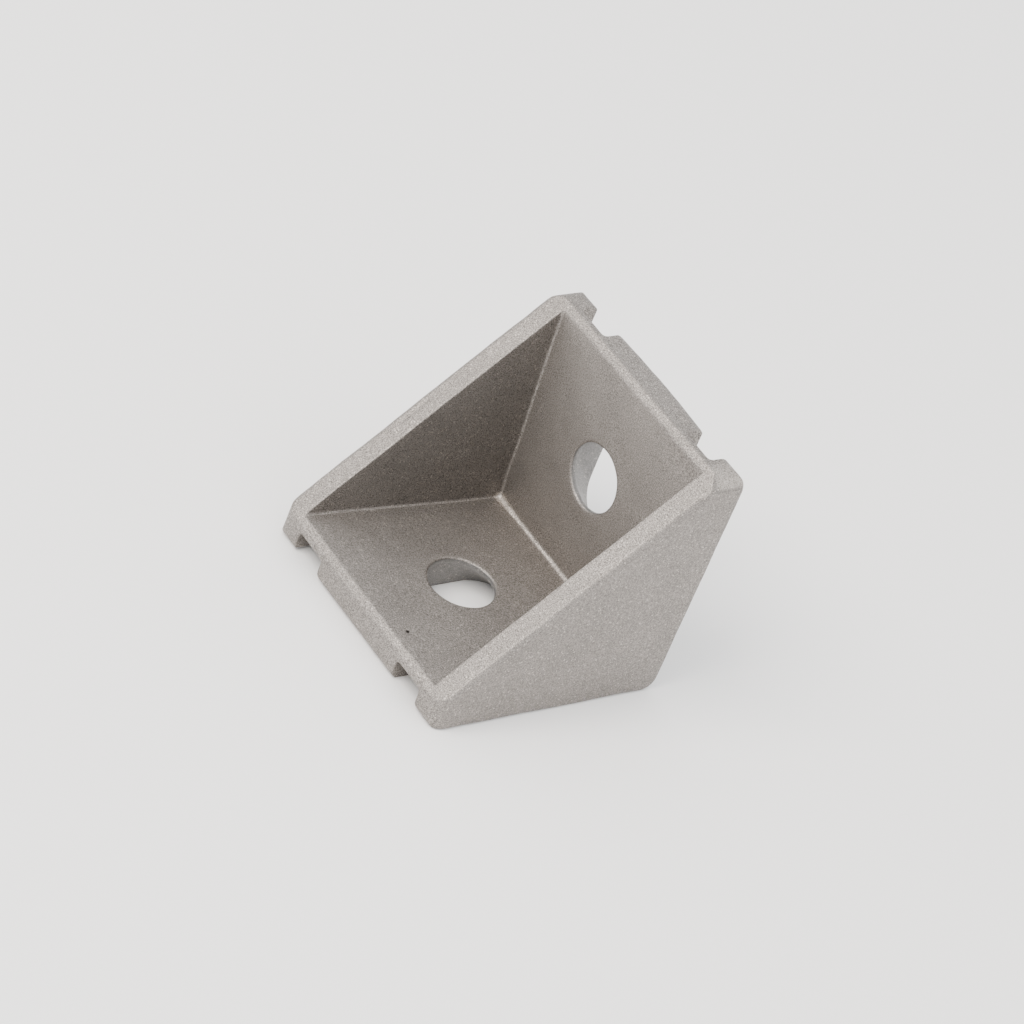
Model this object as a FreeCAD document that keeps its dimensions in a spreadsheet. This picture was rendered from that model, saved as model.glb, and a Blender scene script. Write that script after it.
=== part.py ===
"""Corner bracket for slotted framing profile: one die casting, in millimetres.

Two equal legs stand at a right angle and carry a hole each for a screw into the slot of a profile.
Two triangular side walls close the space between the legs, so the bracket is a deep pocket with a
sloping mouth. Frame: X along the foot, Y across the bracket, Z up along the upright leg. The origin
is the middle of the bounding box's underside, on the foot's mounting face. Every sketch is drawn
from the outer corner, where the two mounting faces would meet, and the body is then set in place.
"""
import FreeCAD
import Part
import Sketcher
import math
import os

SIZES = [
    ("leg_length", 35.0, "outer corner to the end of either leg"),
    ("bracket_width", 38.0, "across both side walls"),
    ("leg_thickness", 4.9, "pocket floor above a mounting face"),
    ("end_height", 4.1, "end face of a leg, up to the sloping rim"),
    ("wall_thickness", 3.2, "side wall at the rim"),
    ("wall_draft", 6.2, "lean of the pocket's side walls, in degrees"),
    ("pad_width", 18.4, "middle pad of a mounting face"),
    ("groove_width", 5.4, "each groove beside the pad"),
    ("groove_depth", 3.2, "grooves, below the mounting face"),
    ("groove_round", 0.6, "inner corners of the grooves"),
    ("mouth_bevel", 0.5, "edge of an outer land along a groove"),
    ("hole_diameter", 9.0, "clearance for the screw, in the collar"),
    ("hole_distance", 19.7, "outer corner to the axis of either hole"),
    ("collar_height", 0.8, "round collar of a hole, below the pocket floor"),
    ("relief_width", 9.4, "oblong below the collar, across the leg"),
    ("relief_reach", 5.0, "slanted side of the oblong, towards the outer corner"),
    ("corner_round", 2.0, "outer corner between the two mounting faces"),
    ("end_round", 2.2, "upright edges between an end face and a side wall"),
    ("toe_round", 1.9, "arc from an end face down to its mounting face"),
    ("toe_height", 1.65, "where that arc starts, above the mounting face"),
    ("side_round", 0.5, "long edges between a side wall and the mounting faces"),
    ("rim_bevel", 0.5, "bevel between the rim and the outside of a wall"),
    ("bend_round", 0.6, "inner corner of the pocket, between the legs"),
    ("pocket_round", 0.25, "edges between the pocket's floors and side walls"),
    ("hole_round", 0.15, "edge of a hole at the pocket floor"),
]
NEAR = 1e-3

doc = FreeCAD.newDocument("corner_bracket")
sheet = doc.addObject("Spreadsheet::Sheet", "sizes")
for row, (name, value, note) in enumerate(SIZES, start=1):
    sheet.set("A%d" % row, name)
    sheet.set("B%d" % row, str(value))
    sheet.set("C%d" % row, note)
    sheet.setAlias("B%d" % row, name)
doc.recompute()
bracket = doc.addObject("PartDesign::Body", "corner_bracket")
bracket.Label = "corner_bracket"


def size(name):
    return float(sheet.get(name))


def worked_out(expression):
    """The number that an expression of the sheet's sizes gives now."""
    value = sheet.evalExpression(expression)
    return float(getattr(value, "Value", value))


def new_sketch(body, name, role, offset=None, lean=None):
    """A sketch on one of a body's planes. offset moves it, by expressions, and lean, an axis and an
    angle, turns it. Both are in the plane's own directions."""
    sketch = body.newObject("Sketcher::SketchObject", name)
    plane = [feature for feature in body.Origin.OriginFeatures if feature.Role == role][0]
    sketch.AttachmentSupport = [(plane, "")]
    sketch.MapMode = "FlatFace"
    if lean:
        sketch.AttachmentOffset = FreeCAD.Placement(FreeCAD.Vector(0, 0, 0), FreeCAD.Rotation(*lean))
    for axis, expression in (offset or {}).items():
        sketch.setExpression("AttachmentOffset.Base." + axis, expression)
    doc.recompute()
    return sketch


def dimension(sketch, kind, place, expression):
    """A distance or radius of a sketch that follows an expression."""
    index = sketch.addConstraint(Sketcher.Constraint(kind, *place, worked_out(expression)))
    sketch.setExpression("Constraints[%d]" % index, expression)


def draw_outline(sketch, corners):
    """A closed outline through corners, each given by two expressions. A third one is the radius of the
    arc, turning left, that leads from that corner to the next. Otherwise a straight line does."""
    points = [FreeCAD.Vector(worked_out(corner[0]), worked_out(corner[1]), 0) for corner in corners]
    first = sketch.GeometryCount
    count = len(corners)
    for number, corner in enumerate(corners):
        start = points[number]
        end = points[(number + 1) % count]
        if len(corner) == 2:
            sketch.addGeometry(Part.LineSegment(start, end), False)
            continue
        radius = worked_out(corner[2])
        chord = end - start
        rise = math.sqrt(max(radius ** 2 - chord.Length ** 2 / 4, 0.0))
        centre = start + chord * 0.5 + FreeCAD.Vector(-chord.y, chord.x, 0).normalize() * rise
        angles = [math.atan2(point.y - centre.y, point.x - centre.x) for point in (start, end)]
        circle = Part.Circle(centre, FreeCAD.Vector(0, 0, 1), radius)
        sketch.addGeometry(Part.ArcOfCircle(circle, *angles), False)
    for number, corner in enumerate(corners):
        here = first + number
        ahead = first + (number + 1) % count
        sketch.addConstraint(Sketcher.Constraint("Coincident", here, 2, ahead, 1))
        dimension(sketch, "DistanceX", (-1, 1, here, 1), corner[0])
        dimension(sketch, "DistanceY", (-1, 1, here, 1), corner[1])
        if len(corner) == 3:
            dimension(sketch, "Radius", (here,), corner[2])


def draw_circle(sketch, across, up, radius):
    """A circle whose centre and radius are given by expressions."""
    centre = FreeCAD.Vector(worked_out(across), worked_out(up), 0)
    circle = Part.Circle(centre, FreeCAD.Vector(0, 0, 1), worked_out(radius))
    index = sketch.addGeometry(circle, False)
    dimension(sketch, "DistanceX", (-1, 1, index, 3), across)
    dimension(sketch, "DistanceY", (-1, 1, index, 3), up)
    dimension(sketch, "Radius", (index,), radius)


def pad_both_ways(body, name, sketch, length):
    """A body's first solid, drawn out to both sides of its sketch."""
    pad = body.newObject("PartDesign::Pad", name)
    pad.Profile = sketch
    pad.Midplane = True
    pad.setExpression("Length", length)
    doc.recompute()


def cut_through(body, name, sketch, both_ways=True, direction=None):
    """A pocket right through a body, square to its sketch or along a slanted direction."""
    before = body.Shape.Volume
    pocket = body.newObject("PartDesign::Pocket", name)
    pocket.Profile = sketch
    pocket.Type = "ThroughAll"
    pocket.Midplane = both_ways
    if direction:
        pocket.UseCustomVector = True
        pocket.AlongSketchNormal = False
        for axis, expression in zip("xyz", direction):
            pocket.setExpression("Direction." + axis, expression)
    doc.recompute()
    if body.Shape.Volume > before - NEAR:
        raise RuntimeError(name + " cuts nothing")


def round_edges(body, name, size_name, wanted):
    """A fillet on every edge of a body that wanted picks, by the edge's two ends and its middle."""
    base = body.Tip
    names = []
    for number, edge in enumerate(base.Shape.Edges, start=1):
        first, last = edge.ParameterRange
        if wanted(edge.valueAt(first), edge.valueAt(last), edge.valueAt((first + last) / 2)):
            names.append("Edge%d" % number)
    if not names:
        raise RuntimeError(name + " finds no edge")
    fillet = body.newObject("PartDesign::Fillet", name)
    fillet.Base = (base, names)
    fillet.setExpression("Radius", "sizes." + size_name)
    doc.recompute()


def on(value, *numbers):
    """Whether every number is the value."""
    return all(abs(number - value) < NEAR for number in numbers)


LENGTH = size("leg_length")
HALF = size("bracket_width") / 2
BEND = size("corner_round") * (1 - math.sqrt(0.5))


def side_edge(p, q, m):
    """Picks the edges between a side wall and the mounting faces or the bend between them."""
    in_seat = on(0, p.z, q.z) or on(0, p.x, q.x) or on(BEND, m.x, m.z)
    return in_seat and on(HALF, abs(p.y), abs(q.y), abs(m.y))


def upright_end(p, q, m):
    """Picks the edges where the legs' end faces meet the side walls."""
    at_end = on(LENGTH, p.x, q.x) or on(LENGTH, p.z, q.z)
    return at_end and on(HALF, abs(m.y))


# Side view of the casting: two legs at a right angle, closed by the sloping rim.
side_view = new_sketch(bracket, "side_view", "XZ_Plane")
draw_outline(side_view, [
    ("0", "0"),
    ("sizes.leg_length", "0"),
    ("sizes.leg_length", "sizes.end_height"),
    ("sizes.end_height", "sizes.leg_length"),
    ("0", "sizes.leg_length"),
])
pad_both_ways(bracket, "block", side_view, "sizes.bracket_width")

# The outer corner, and the upright edges at the legs' ends.
round_edges(bracket, "outer_corner", "corner_round", lambda p, q, m: on(0, m.x, m.z))
round_edges(bracket, "end_corners", "end_round", upright_end)

# The toes: each end face turns down in an arc that meets its mounting face at a blunt edge.
TANGENT = "sizes.leg_length - sizes.toe_round"
BEYOND = "sizes.leg_length + sizes.toe_round"
TOE = "(%s + sqrt(sizes.toe_round * sizes.toe_round - sizes.toe_height * sizes.toe_height))" % TANGENT
toes = new_sketch(bracket, "toes", "XZ_Plane")
draw_outline(toes, [
    (TOE, "0", "sizes.toe_round"),
    ("sizes.leg_length", "sizes.toe_height"),
    (BEYOND, "sizes.toe_height"),
    (BEYOND, "-sizes.toe_height"),
    (TOE, "-sizes.toe_height"),
])
draw_outline(toes, [
    ("sizes.toe_height", "sizes.leg_length", "sizes.toe_round"),
    ("0", TOE),
    ("-sizes.toe_height", TOE),
    ("-sizes.toe_height", BEYOND),
    ("sizes.toe_height", BEYOND),
])
cut_through(bracket, "toe_arcs", toes)
round_edges(bracket, "side_edges", "side_round", side_edge)

# A bevel between the rim and the outside of each wall, drawn square to the slope.
HALF_WIDTH = "sizes.bracket_width / 2"
RIM_HEIGHT = "(sizes.leg_length + sizes.end_height) / sqrt(2)"
SQUARE_TO_SLOPE = (FreeCAD.Vector(1, 0, 0), 45)
bevels = new_sketch(bracket, "bevels", "YZ_Plane", lean=SQUARE_TO_SLOPE)
for side in ("", "-"):
    draw_outline(bevels, [
        (side + "(%s - 2 * sizes.rim_bevel)" % HALF_WIDTH, RIM_HEIGHT + " + sizes.rim_bevel"),
        (side + "(%s + sizes.rim_bevel)" % HALF_WIDTH, RIM_HEIGHT + " - 2 * sizes.rim_bevel"),
        (side + "(%s + sizes.rim_bevel)" % HALF_WIDTH, RIM_HEIGHT + " + sizes.rim_bevel"),
    ])
cut_through(bracket, "rim_bevels", bevels)

# Two grooves along each mounting face leave a middle pad and two outer lands. They run out at the
# legs' ends and at the outer corner, where the foot's grooves meet those of the upright.
INNER = "sizes.pad_width / 2"
OUTER = "(sizes.pad_width / 2 + sizes.groove_width)"
foot_grooves = new_sketch(bracket, "foot_grooves", "YZ_Plane")
upright_grooves = new_sketch(bracket, "upright_grooves", "XY_Plane")
for side, low, high in (("", INNER, OUTER), ("-", OUTER, INNER)):
    start = side + low
    stop = side + high
    draw_outline(foot_grooves, [
        (start, "-sizes.groove_depth"),
        (stop, "-sizes.groove_depth"),
        (stop, "sizes.groove_depth - sizes.groove_round", "sizes.groove_round"),
        (stop + " - sizes.groove_round", "sizes.groove_depth"),
        (start + " + sizes.groove_round", "sizes.groove_depth", "sizes.groove_round"),
        (start, "sizes.groove_depth - sizes.groove_round"),
    ])
    draw_outline(upright_grooves, [
        ("-sizes.groove_depth", stop),
        ("-sizes.groove_depth", start),
        ("sizes.groove_depth - sizes.groove_round", start, "sizes.groove_round"),
        ("sizes.groove_depth", start + " + sizes.groove_round"),
        ("sizes.groove_depth", stop + " - sizes.groove_round", "sizes.groove_round"),
        ("sizes.groove_depth - sizes.groove_round", stop),
    ])
cut_through(bracket, "grooves_of_foot", foot_grooves)
cut_through(bracket, "grooves_of_upright", upright_grooves)

# The outer lands are bevelled along the grooves.
foot_mouths = new_sketch(bracket, "foot_mouths", "YZ_Plane")
upright_mouths = new_sketch(bracket, "upright_mouths", "XY_Plane")
for side in ("", "-"):
    land_edge = side + "(%s + 2 * sizes.mouth_bevel)" % OUTER
    in_groove = side + "(%s - sizes.mouth_bevel)" % OUTER
    draw_outline(foot_mouths, [
        (land_edge, "-sizes.mouth_bevel"),
        (in_groove, "2 * sizes.mouth_bevel"),
        (in_groove, "-sizes.mouth_bevel"),
    ])
    draw_outline(upright_mouths, [
        ("-sizes.mouth_bevel", land_edge),
        ("2 * sizes.mouth_bevel", in_groove),
        ("-sizes.mouth_bevel", in_groove),
    ])
cut_through(bracket, "mouths_of_foot", foot_mouths)
cut_through(bracket, "mouths_of_upright", upright_mouths)

# The pocket is shaped by a core, as in the die: a wedge between the legs' inner faces whose sides lean
# inwards from the rim. Rounding the core rounds the inner edges of the pocket.
core = doc.addObject("PartDesign::Body", "core_of_pocket")
wedge = new_sketch(core, "wedge", "XZ_Plane")
RIM_POINT = "sizes.leg_length + sizes.end_height"
draw_outline(wedge, [
    ("sizes.leg_thickness", "sizes.leg_thickness"),
    (RIM_POINT, "sizes.leg_thickness"),
    ("sizes.leg_thickness", RIM_POINT),
])
pad_both_ways(core, "full_wedge", wedge, "sizes.bracket_width")
MOUTH_WIDTH = "(%s - sizes.wall_thickness)" % HALF_WIDTH
LEAN = "tan(sizes.wall_draft * 1deg)"
ABOVE = "%s + sizes.leg_thickness" % RIM_HEIGHT
BESIDE = "(%s + sizes.leg_thickness)" % HALF_WIDTH
leans = new_sketch(core, "leans", "YZ_Plane", lean=SQUARE_TO_SLOPE)
for side in ("", "-"):
    draw_outline(leans, [
        (side + "(%s - (%s) * %s)" % (MOUTH_WIDTH, RIM_HEIGHT, LEAN), "0"),
        (side + BESIDE, "0"),
        (side + BESIDE, ABOVE),
        (side + "(%s + sizes.leg_thickness * %s)" % (MOUTH_WIDTH, LEAN), ABOVE),
    ])
cut_through(core, "leaning_sides", leans)


def floor_edge(p, q, m):
    """Picks the core's edges along the legs' inner faces, apart from those at the pocket's mouth."""
    thickness = size("leg_thickness")
    in_floor = on(thickness, p.x, q.x, m.x) or on(thickness, p.z, q.z, m.z)
    return in_floor and not on(0, p.y + q.y)


round_edges(core, "inner_bend", "bend_round", lambda p, q, m: on(size("leg_thickness"), m.x, m.z))
round_edges(core, "floor_edges", "pocket_round", floor_edge)
cavity = bracket.newObject("PartDesign::Boolean", "cavity")
cavity.Type = "Cut"
cavity.Group = [core]
doc.recompute()

# Each leg has a hole for its screw. Only a shallow collar at the pocket floor is round. Below it the
# hole widens to an oblong whose side towards the outer corner slants: a circle that runs down the
# slant, wedges beside it, and the same circle straight down. The bore goes through last.
BORE = "sizes.hole_diameter / 2"
RELIEF = "sizes.relief_width / 2"
AWAY = "sizes.hole_distance"
COLLAR_FOOT = "(sizes.leg_thickness - sizes.collar_height)"
DOWN_SLANT = ("-sizes.relief_reach", "0", "-" + COLLAR_FOOT)
foot_relief = new_sketch(bracket, "foot_relief", "XY_Plane", {"z": COLLAR_FOOT})
draw_circle(foot_relief, AWAY, "0", RELIEF)
cut_through(bracket, "slant_of_foot", foot_relief, False, DOWN_SLANT)
upright_relief = new_sketch(bracket, "upright_relief", "YZ_Plane", {"z": COLLAR_FOOT})
draw_circle(upright_relief, "0", AWAY, RELIEF)
cut_through(bracket, "slant_of_upright", upright_relief, False, DOWN_SLANT[::-1])
flanks = new_sketch(bracket, "flanks", "XZ_Plane")
SLANT_FOOT = "sizes.hole_distance - sizes.relief_reach"
draw_outline(flanks, [(AWAY, "0"), (AWAY, COLLAR_FOOT), (SLANT_FOOT, "0")])
draw_outline(flanks, [("0", AWAY), ("0", SLANT_FOOT), (COLLAR_FOOT, AWAY)])
wedges = bracket.newObject("PartDesign::Pocket", "wedges_of_slants")
wedges.Profile = flanks
wedges.Midplane = True
wedges.setExpression("Length", "sizes.relief_width")
doc.recompute()
cut_through(bracket, "oblong_of_foot", foot_relief, False)
cut_through(bracket, "oblong_of_upright", upright_relief, False)
foot_hole = new_sketch(bracket, "foot_hole", "XY_Plane")
draw_circle(foot_hole, AWAY, "0", BORE)
cut_through(bracket, "bore_of_foot", foot_hole)
upright_hole = new_sketch(bracket, "upright_hole", "YZ_Plane")
draw_circle(upright_hole, "0", AWAY, BORE)
cut_through(bracket, "bore_of_upright", upright_hole)


def hole_rim(p, q, m):
    """Picks the full round edge of each hole at the pocket floor."""
    thickness = size("leg_thickness")
    in_floor = on(thickness, p.x, m.x) or on(thickness, p.z, m.z)
    return in_floor and (p - q).Length < NEAR


round_edges(bracket, "hole_rims", "hole_round", hole_rim)

# The body is set in place, with its box's middle over the origin.
bracket.setExpression("Placement.Base.x", "-sizes.leg_length / 2")
doc.recompute()

for item in doc.Objects:
    if "Invalid" in item.State or "Error" in item.State:
        raise RuntimeError(item.Label + " failed to build")
if bracket.Shape.isNull() or not bracket.Shape.isValid():
    raise RuntimeError(bracket.Label + " has no valid shape")
os.makedirs("parts", exist_ok=True)
bracket.Shape.exportStep("parts/%s.step" % bracket.Label)
box = bracket.Shape.optimalBoundingBox()
print("%s: %.2f x %.2f x %.2f mm, %.2f cm3" % (
    bracket.Label, box.XLength, box.YLength, box.ZLength, bracket.Shape.Volume / 1000))
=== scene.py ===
import bpy
from mathutils import Matrix, Vector, noise


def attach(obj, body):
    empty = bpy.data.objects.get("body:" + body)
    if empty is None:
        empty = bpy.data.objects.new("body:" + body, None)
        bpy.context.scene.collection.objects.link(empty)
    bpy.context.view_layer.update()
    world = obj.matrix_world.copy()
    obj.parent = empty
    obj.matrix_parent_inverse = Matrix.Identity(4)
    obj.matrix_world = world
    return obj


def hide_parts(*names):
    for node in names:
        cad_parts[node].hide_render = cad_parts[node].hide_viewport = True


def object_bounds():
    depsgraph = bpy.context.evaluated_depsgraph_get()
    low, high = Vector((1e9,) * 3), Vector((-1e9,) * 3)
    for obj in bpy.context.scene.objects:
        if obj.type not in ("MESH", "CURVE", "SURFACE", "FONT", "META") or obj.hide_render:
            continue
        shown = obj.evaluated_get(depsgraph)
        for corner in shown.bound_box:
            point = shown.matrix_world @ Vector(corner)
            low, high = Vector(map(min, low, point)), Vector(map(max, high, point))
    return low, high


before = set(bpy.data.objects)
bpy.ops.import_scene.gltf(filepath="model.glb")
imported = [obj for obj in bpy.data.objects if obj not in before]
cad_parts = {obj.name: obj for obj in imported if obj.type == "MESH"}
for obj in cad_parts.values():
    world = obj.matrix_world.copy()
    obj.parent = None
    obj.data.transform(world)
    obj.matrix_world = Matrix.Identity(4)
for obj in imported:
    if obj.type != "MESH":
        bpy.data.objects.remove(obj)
cad_low, cad_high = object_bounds()

# The casting: one piece of die-cast aluminium, shot blasted to a matte warm grey with a fine
# sparkling grain. Blasting takes the sharpness off every edge, and the die leaves the faces and
# rims slightly wavy, so the solid gets a fine skin with soft edges, low waves and its few marks.
SKIN_CELL = 0.00017
EDGE_SHARE = 0.5
EDGE_PASSES = 3
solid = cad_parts["corner_bracket"]
bracket = bpy.data.objects.new("bracket_casting", solid.data.copy())
bpy.context.scene.collection.objects.link(bracket)
skin = bracket.modifiers.new("skin", "REMESH")
skin.mode = "VOXEL"
skin.voxel_size = SKIN_CELL
blasting = bracket.modifiers.new("blasting", "SMOOTH")
blasting.factor = EDGE_SHARE
blasting.iterations = EDGE_PASSES


def settle(casting):
    """Makes what the casting's modifiers show its own mesh."""
    shown = casting.evaluated_get(bpy.context.evaluated_depsgraph_get())
    mesh = bpy.data.meshes.new_from_object(shown)
    casting.modifiers.clear()
    casting.data = mesh


settle(bracket)

# Low waves of the faces and edges, each with its length and its height. The seed lays them the
# same way each time.
WAVES = [(0.0065, 0.00007), (0.0021, 0.00003), (0.0007, 0.000008)]
WAVE_SEED = 4
noise.seed_set(WAVE_SEED)

# Two dents of the blasted surface: a small pit in the foot's pocket floor, with a faint scratch
# that leads from it, and a shallow step along the rim of the far wall.
LEG_THICK = 0.0049
PIT = Vector((0.01459, 0.00639, LEG_THICK))
PIT_REACH = 0.0003
PIT_DEPTH = 0.00022
SCRATCH_END = Vector((0.01321, 0.00853, LEG_THICK))
SCRATCH_REACH = 0.00024
SCRATCH_DEPTH = 0.00006
STEP_START = Vector((0.00478, -0.0178, 0.01682))
STEP_END = Vector((0.00178, -0.0178, 0.01982))
STEP_REACH = 0.0005
STEP_DEPTH = 0.00007
INTO_FOOT = Vector((0, 0, -1))
INTO_RIM = Vector((-1, 0, -1)).normalized()


def dent(place, start, end, reach, depth):
    """How deep a groove from start to end is at a place."""
    along = end - start
    share = 0.0
    if along.length > 0:
        share = min(max((place - start).dot(along) / along.length_squared, 0.0), 1.0)
    distance = (place - start - along * share).length
    if distance > reach:
        return 0.0
    return depth * (1 - (distance / reach) ** 2) ** 2


# The end of the upright leg's pad, on its toe, is fuller in the middle than beside the grooves.
PAD_HALF = 0.0092
TOE_HEIGHT = 0.00165
TOE_START = 0.0338
CROWN = 0.00028
OUT_OF_TOE = Vector((-1, 0, 1)).normalized()


def crown(place):
    """How much fuller the end of the upright leg's pad is at a place."""
    above_face = place.x - cad_low[0]
    if abs(place.y) > PAD_HALF or above_face > TOE_HEIGHT or place.z < TOE_START:
        return 0.0
    return CROWN * (1 - (place.y / PAD_HALF) ** 2) * (1 - above_face / TOE_HEIGHT)


# The rounding at the near end of the upright leg is blunt: a flat slope up to the end face, which
# starts at a fine edge on the side wall. The edge fades out beside the mounting face.
BLUNT_EDGE = Vector((0, cad_high[1], 0.0336))
BLUNT_TOP = Vector((0, 0.0168, cad_high[2]))
BLUNT_START = 0.0326
BLUNT_SHARE = 0.8
BLUNT_FADE = 0.0009
slope = BLUNT_TOP - BLUNT_EDGE
BLUNT_WAY = Vector((0, slope.z, -slope.y)).normalized()


def blunted(place):
    """A place on the near corner of the upright leg's end, moved to its flat slope or fine edge."""
    if place.z < BLUNT_START or place.y < BLUNT_TOP.y - CROWN:
        return place
    above = (place - BLUNT_EDGE).dot(BLUNT_WAY)
    if above > 0:
        return place - BLUNT_WAY * above
    on_side = place.y > BLUNT_TOP.y + (BLUNT_EDGE.y - BLUNT_TOP.y) * BLUNT_SHARE
    if on_side and place.z < BLUNT_EDGE.z and place.x > cad_low[0] + BLUNT_FADE:
        return Vector((place.x, BLUNT_EDGE.y, place.z))
    return place


for vertex in bracket.data.vertices:
    place = vertex.co.copy()
    moved = blunted(place) + OUT_OF_TOE * crown(place)
    for length, height in WAVES:
        moved += noise.noise_vector(place / length) * height
    moved += INTO_FOOT * dent(place, PIT, PIT, PIT_REACH, PIT_DEPTH)
    moved += INTO_FOOT * dent(place, PIT, SCRATCH_END, SCRATCH_REACH, SCRATCH_DEPTH)
    moved += INTO_RIM * dent(place, STEP_START, STEP_END, STEP_REACH, STEP_DEPTH)
    vertex.co = moved

# Flat stretches need few triangles. Nothing stands proud of the solid's box.
MOST_TRIANGLES = 190000
triangles = sum(len(face.vertices) - 2 for face in bracket.data.polygons)
fewer = bracket.modifiers.new("fewer", "DECIMATE")
fewer.ratio = MOST_TRIANGLES / triangles
settle(bracket)
for vertex in bracket.data.vertices:
    for axis in range(3):
        vertex.co[axis] = min(max(vertex.co[axis], cad_low[axis]), cad_high[axis])
bracket.data.shade_smooth()

# The blasted surface: warm grey metal with a fine uneven grain. Its high spots are lighter and
# smoother than its hollows.
DARK_GREY = (0.1, 0.093, 0.086, 1)
LIGHT_GREY = (0.425, 0.392, 0.364, 1)
HOLLOW_ROUGHNESS = 0.74
SPOT_ROUGHNESS = 0.38
GRAIN_SIZE = 0.00015
GRAIN_DETAIL = 3.0
GRAIN_BREAK = 0.65
HOLLOW_TO_SPOT = (0.33, 0.67)
RELIEF_HEIGHT = 0.00006
RELIEF_STRENGTH = 0.9
blasted = bpy.data.materials.new("blasted_aluminium")
blasted.use_nodes = True
nodes = blasted.node_tree.nodes
links = blasted.node_tree.links
shader = nodes["Principled BSDF"]
shader.inputs["Metallic"].default_value = 1.0
surface = nodes.new("ShaderNodeTexCoord").outputs["Object"]


def grain(size, detail=2.0, broken=0.5):
    """An uneven pattern whose marks are about the given size."""
    pattern = nodes.new("ShaderNodeTexNoise")
    pattern.inputs["Scale"].default_value = 1 / size
    pattern.inputs["Detail"].default_value = detail
    pattern.inputs["Roughness"].default_value = broken
    links.new(surface, pattern.inputs["Vector"])
    return pattern.outputs["Fac"]


def between(value, low, high, start=0.0, end=1.0):
    """A value's run from low to high, spread over start to end and kept between them."""
    spread = nodes.new("ShaderNodeMapRange")
    links.new(value, spread.inputs["Value"])
    for name, number in (("From Min", low), ("From Max", high), ("To Min", start), ("To Max", end)):
        spread.inputs[name].default_value = number
    return spread.outputs["Result"]


def blend(share, first, second):
    """Two greys mixed by a share. Each is a colour or another node's output."""
    mix = nodes.new("ShaderNodeMix")
    mix.data_type = "RGBA"
    links.new(share, mix.inputs["Factor"])
    for socket, grey_part in ((mix.inputs["A"], first), (mix.inputs["B"], second)):
        if isinstance(grey_part, tuple):
            socket.default_value = grey_part
        else:
            links.new(grey_part, socket)
    return mix.outputs["Result"]


def distance_from(point, measured=surface):
    """How far the surface is from a point."""
    gap = nodes.new("ShaderNodeVectorMath")
    gap.operation = "DISTANCE"
    links.new(measured, gap.inputs[0])
    gap.inputs[1].default_value = point
    return gap.outputs["Value"]


def calculate(operation, first, second=0.0):
    """What an operation makes of one or two values. The second may be a plain number."""
    step = nodes.new("ShaderNodeMath")
    step.operation = operation
    links.new(first, step.inputs[0])
    if isinstance(second, float):
        step.inputs[1].default_value = second
    else:
        links.new(second, step.inputs[1])
    return step.outputs["Value"]


fine = grain(GRAIN_SIZE, GRAIN_DETAIL, GRAIN_BREAK)
grey = blend(between(fine, *HOLLOW_TO_SPOT), DARK_GREY, LIGHT_GREY)
links.new(between(fine, *HOLLOW_TO_SPOT, HOLLOW_ROUGHNESS, SPOT_ROUGHNESS),
          shader.inputs["Roughness"])
relief = nodes.new("ShaderNodeBump")
relief.inputs["Strength"].default_value = RELIEF_STRENGTH
relief.inputs["Distance"].default_value = RELIEF_HEIGHT
links.new(fine, relief.inputs["Height"])
links.new(relief.outputs["Normal"], shader.inputs["Normal"])

# The outer faces of the side walls drew evenly from the die, so their grain is calmer.
CALM_GREY = (0.262, 0.242, 0.225, 1)
CALM_SHARE = 0.45
CALM_START = cad_high[1] - 0.0008
CALM_FULL = cad_high[1] - 0.0002
axes = nodes.new("ShaderNodeSeparateXYZ")
links.new(surface, axes.inputs["Vector"])
from_middle = calculate("ABSOLUTE", axes.outputs["Y"])
grey = blend(between(from_middle, CALM_START, CALM_FULL, 0.0, CALM_SHARE), grey, CALM_GREY)

# The walls inside the holes keep the more neutral grey that they had in the die. Each hole is a
# round bore at the pocket floor and an oblong at the mounting face, so a box round both finds it.
HOLE_GREY = (0.265, 0.262, 0.26, 1)
HOLE_SHARE = 0.75
HOLE_AWAY = 0.0197
HOLE_HALF = 0.0048
OBLONG_HALF = 0.0073
OBLONG_SHIFT = 0.0025


def inside(centre, half):
    """One within a box that has this centre and these half sizes, and nothing outside it."""
    away = nodes.new("ShaderNodeVectorMath")
    away.operation = "SUBTRACT"
    links.new(surface, away.inputs[0])
    away.inputs[1].default_value = centre
    size = nodes.new("ShaderNodeVectorMath")
    size.operation = "ABSOLUTE"
    links.new(away.outputs["Vector"], size.inputs[0])
    ways = nodes.new("ShaderNodeSeparateXYZ")
    links.new(size.outputs["Vector"], ways.inputs["Vector"])
    found = None
    for way, most in zip("XYZ", half):
        near = calculate("LESS_THAN", ways.outputs[way], most)
        found = near if found is None else calculate("MULTIPLY", found, near)
    return found


through = LEG_THICK / 2 - GRAIN_SIZE
along = HOLE_AWAY - OBLONG_SHIFT
foot_hole = inside((cad_low[0] + along, 0, LEG_THICK / 2), (OBLONG_HALF, HOLE_HALF, through))
upright_hole = inside((cad_low[0] + LEG_THICK / 2, 0, along), (through, HOLE_HALF, OBLONG_HALF))
hole_walls = calculate("MAXIMUM", foot_hole, upright_hole)
grey = blend(calculate("MULTIPLY", hole_walls, HOLE_SHARE), grey, HOLE_GREY)

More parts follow.
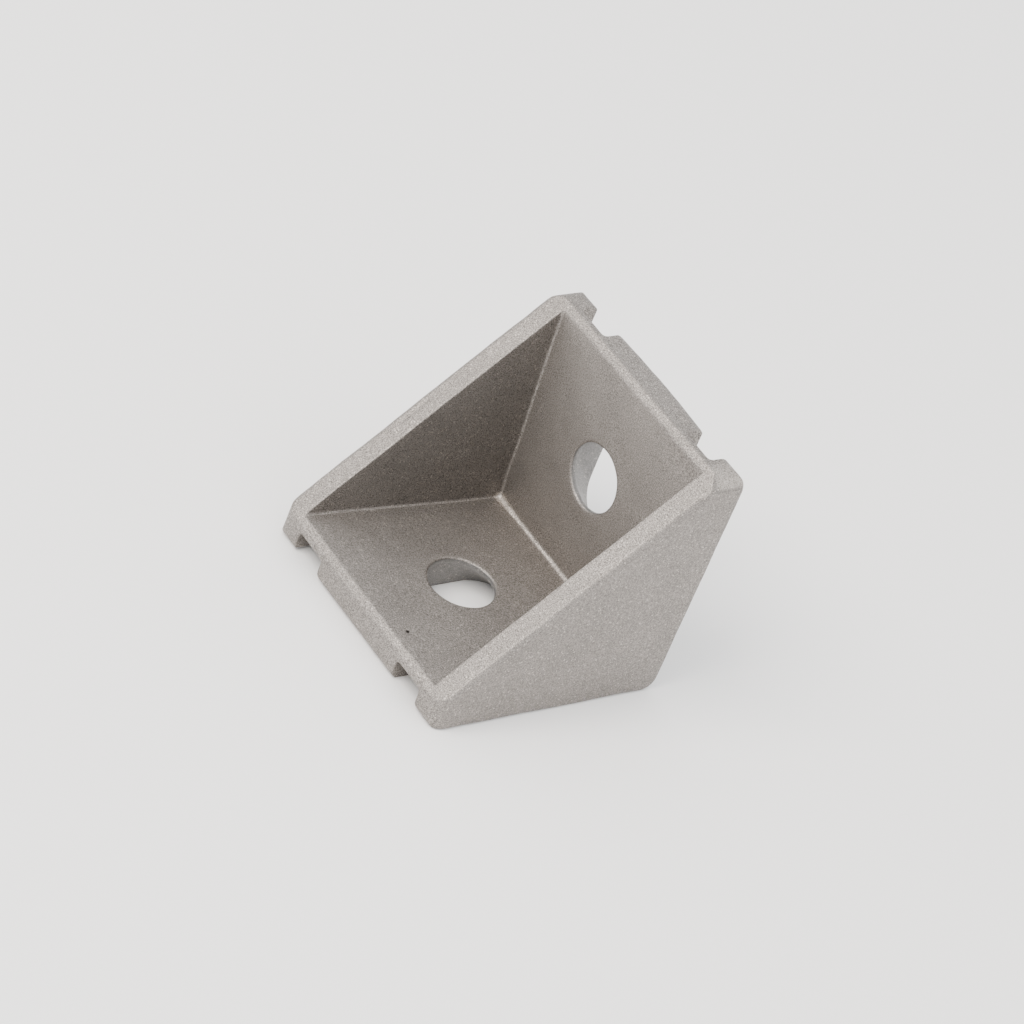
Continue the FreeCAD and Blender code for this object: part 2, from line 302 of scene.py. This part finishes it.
# Faint darker patches, and painted highlights: bright specks painted into the colour as glints
# where a facet of the grain would shine. A speck is brightest in its middle, and only about one in
# five shows.
PATCH_SIZE = 0.006
PATCH_RUN = (0.3, 0.75)
PATCH_SHARE = 0.16
PAINTED_HIGHLIGHT_GREY = (0.62, 0.57, 0.52, 1)
SPECK_SIZE = 0.00026
SPECK_RUN = (0.5, 0.25)
SPECK_PICK = (0.8, 1.0)
SPECK_SHARE = 0.8
grey = blend(between(grain(PATCH_SIZE), *PATCH_RUN, 0.0, PATCH_SHARE), grey, DARK_GREY)
specks = nodes.new("ShaderNodeTexVoronoi")
specks.inputs["Scale"].default_value = 1 / SPECK_SIZE
links.new(surface, specks.inputs["Vector"])
pick = nodes.new("ShaderNodeSeparateColor")
links.new(specks.outputs["Color"], pick.inputs["Color"])
painted_glints = calculate("MULTIPLY", between(specks.outputs["Distance"], *SPECK_RUN),
                    between(pick.outputs["Red"], *SPECK_PICK, 0.0, SPECK_SHARE))
grey = blend(painted_glints, grey, PAINTED_HIGHLIGHT_GREY)

# A painted highlight: the line where two faces meet in the pocket is painted lighter, broken up by
# the grain. A hollow has a pointiness under the half that a flat face has.
LINE_RUN = (0.46, 0.42)
LINE_GRAIN = (0.35, 0.55)
LINE_SHINE = (0.3, 1.0)
hollow = nodes.new("ShaderNodeNewGeometry").outputs["Pointiness"]
painted_hollow_highlight = calculate("MULTIPLY", between(hollow, *LINE_RUN),
                       between(fine, *LINE_GRAIN, *LINE_SHINE))

# A painted highlight along the bend between the pocket's two floors, widest at the far wall.
BEND = (cad_low[0] + LEG_THICK, 0.0, LEG_THICK)
BEND_HALF = 0.00024
BEND_WIDENING = (-0.0085, -0.0135)
BEND_EXTRA = 0.00055
BEND_GRAIN = (0.4, 0.62)
BEND_SHINE = (0.1, 0.95)
POCKET_HALF = 0.0158
section = nodes.new("ShaderNodeCombineXYZ")
links.new(axes.outputs["X"], section.inputs["X"])
links.new(axes.outputs["Z"], section.inputs["Z"])
wider = between(axes.outputs["Y"], *BEND_WIDENING, 0.0, BEND_EXTRA)
from_bend = calculate("SUBTRACT", distance_from(BEND, section.outputs["Vector"]), wider)
painted_bend_highlight = calculate("MULTIPLY", between(from_bend, BEND_HALF + GRAIN_SIZE, BEND_HALF),
                      between(fine, *BEND_GRAIN, *BEND_SHINE))
in_pocket = calculate("LESS_THAN", from_middle, POCKET_HALF)
painted_bend_highlight = calculate("MULTIPLY", painted_bend_highlight, in_pocket)

# A painted highlight: the blunt corner at the upright leg's near end is painted as light as the
# rim.
CORNER_START = BLUNT_TOP.y - 0.002
CORNER_FULL = BLUNT_TOP.y + 0.001
CORNER_GRAIN = (0.3, 0.65)
CORNER_SHINE = (0.15, 0.55)
RIM_CORNER = -0.0133
over_edge = between(axes.outputs["Z"], BLUNT_EDGE.z, BLUNT_EDGE.z + 2 * GRAIN_SIZE)
at_corner = between(axes.outputs["Y"], CORNER_START, CORNER_FULL)
behind_rim = between(axes.outputs["X"], RIM_CORNER + 2 * GRAIN_SIZE, RIM_CORNER - 2 * GRAIN_SIZE)
corner_shine = calculate("MULTIPLY", behind_rim, between(fine, *CORNER_GRAIN, *CORNER_SHINE))
painted_corner_highlight = calculate("MULTIPLY", calculate("MULTIPLY", over_edge, at_corner), corner_shine)
# Lighter where any of the painted highlights lies.
bright = calculate("MAXIMUM", calculate("MAXIMUM", painted_hollow_highlight, painted_bend_highlight), painted_corner_highlight)
grey = blend(bright, grey, PAINTED_HIGHLIGHT_GREY)

# Painted shade: the pit is painted nearly black inside.
PAINTED_PIT_SHADE = (0.02, 0.018, 0.016, 1)
pit_middle = PIT + INTO_FOOT * (PIT_DEPTH / 2)
grey = blend(between(distance_from(pit_middle), PIT_REACH, PIT_REACH / 2), grey, PAINTED_PIT_SHADE)
links.new(grey, shader.inputs["Base Color"])
bracket.data.materials.clear()
bracket.data.materials.append(blasted)
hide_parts("corner_bracket")
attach(bracket, "root")

# The floor under the bracket: plain pale paper, larger than the camera sees. It isn't part of the
# bracket.
FLOOR_HALF = 2.0
PAPER_WHITE = (0.92, 0.92, 0.92, 1)
PAPER_ROUGHNESS = 0.9
floor_mesh = bpy.data.meshes.new("floor")
floor_mesh.from_pydata(
    [(-FLOOR_HALF, -FLOOR_HALF, 0), (FLOOR_HALF, -FLOOR_HALF, 0), (FLOOR_HALF, FLOOR_HALF, 0),
     (-FLOOR_HALF, FLOOR_HALF, 0)], [], [(0, 1, 2, 3)])
floor = bpy.data.objects.new("floor", floor_mesh)
bpy.context.scene.collection.objects.link(floor)
paper = bpy.data.materials.new("pale_paper")
paper.use_nodes = True
paper.node_tree.nodes["Principled BSDF"].inputs["Base Color"].default_value = PAPER_WHITE
paper.node_tree.nodes["Principled BSDF"].inputs["Roughness"].default_value = PAPER_ROUGHNESS
floor_mesh.materials.append(paper)

# The camera stands where the photo was taken from, on a long lens. Its place and its three
# directions fit the bracket's edges to the photo's.
CAMERA_PLACE = Vector((0.33016, 0.30478, 0.33959))
RIGHT = Vector((-0.79102, 0.52281, 0.31774))
DOWN = Vector((0.13041, 0.65151, -0.74734))
FORWARD = Vector((-0.59773, -0.54972, -0.58354))
FILM_WIDTH_MM = 36.0
LENS_MM = 157.4
camera_data = bpy.data.cameras.new("camera")
camera_data.sensor_width = FILM_WIDTH_MM
camera_data.lens = LENS_MM
camera = bpy.data.objects.new("camera", camera_data)
bpy.context.scene.collection.objects.link(camera)
turn = Matrix((RIGHT, -DOWN, -FORWARD)).transposed()
camera.matrix_world = Matrix.Translation(CAMERA_PLACE) @ turn.to_4x4()
bpy.context.scene.camera = camera

# The studio: a white surround, and one large soft and slightly warm light, up and to the left of
# the camera.
WHITE = (1, 1, 1, 1)
SURROUND_STRENGTH = 1.95
world = bpy.data.worlds.new("white_surround")
world.use_nodes = True
world.node_tree.nodes["Background"].inputs["Color"].default_value = WHITE
world.node_tree.nodes["Background"].inputs["Strength"].default_value = SURROUND_STRENGTH
bpy.context.scene.world = world
LIGHT_DISTANCE = 0.8
LIGHT_WIDTH = 0.5
LIGHT_POWER = 7.95
WARM_WHITE = (1, 0.93, 0.855)
LEFTWARD = 0.24
UPWARD = 0.58
CAMERAWARD = 0.78
light_way = (RIGHT * -LEFTWARD - DOWN * UPWARD - FORWARD * CAMERAWARD).normalized()
light_data = bpy.data.lights.new("soft_light", "AREA")
light_data.shape = "DISK"
light_data.size = LIGHT_WIDTH
light_data.energy = LIGHT_POWER
light_data.color = WARM_WHITE
light = bpy.data.objects.new("soft_light", light_data)
bpy.context.scene.collection.objects.link(light)
light_turn = light_way.to_track_quat("Z", "Y").to_matrix().to_4x4()
light.matrix_world = Matrix.Translation(light_way * LIGHT_DISTANCE) @ light_turn
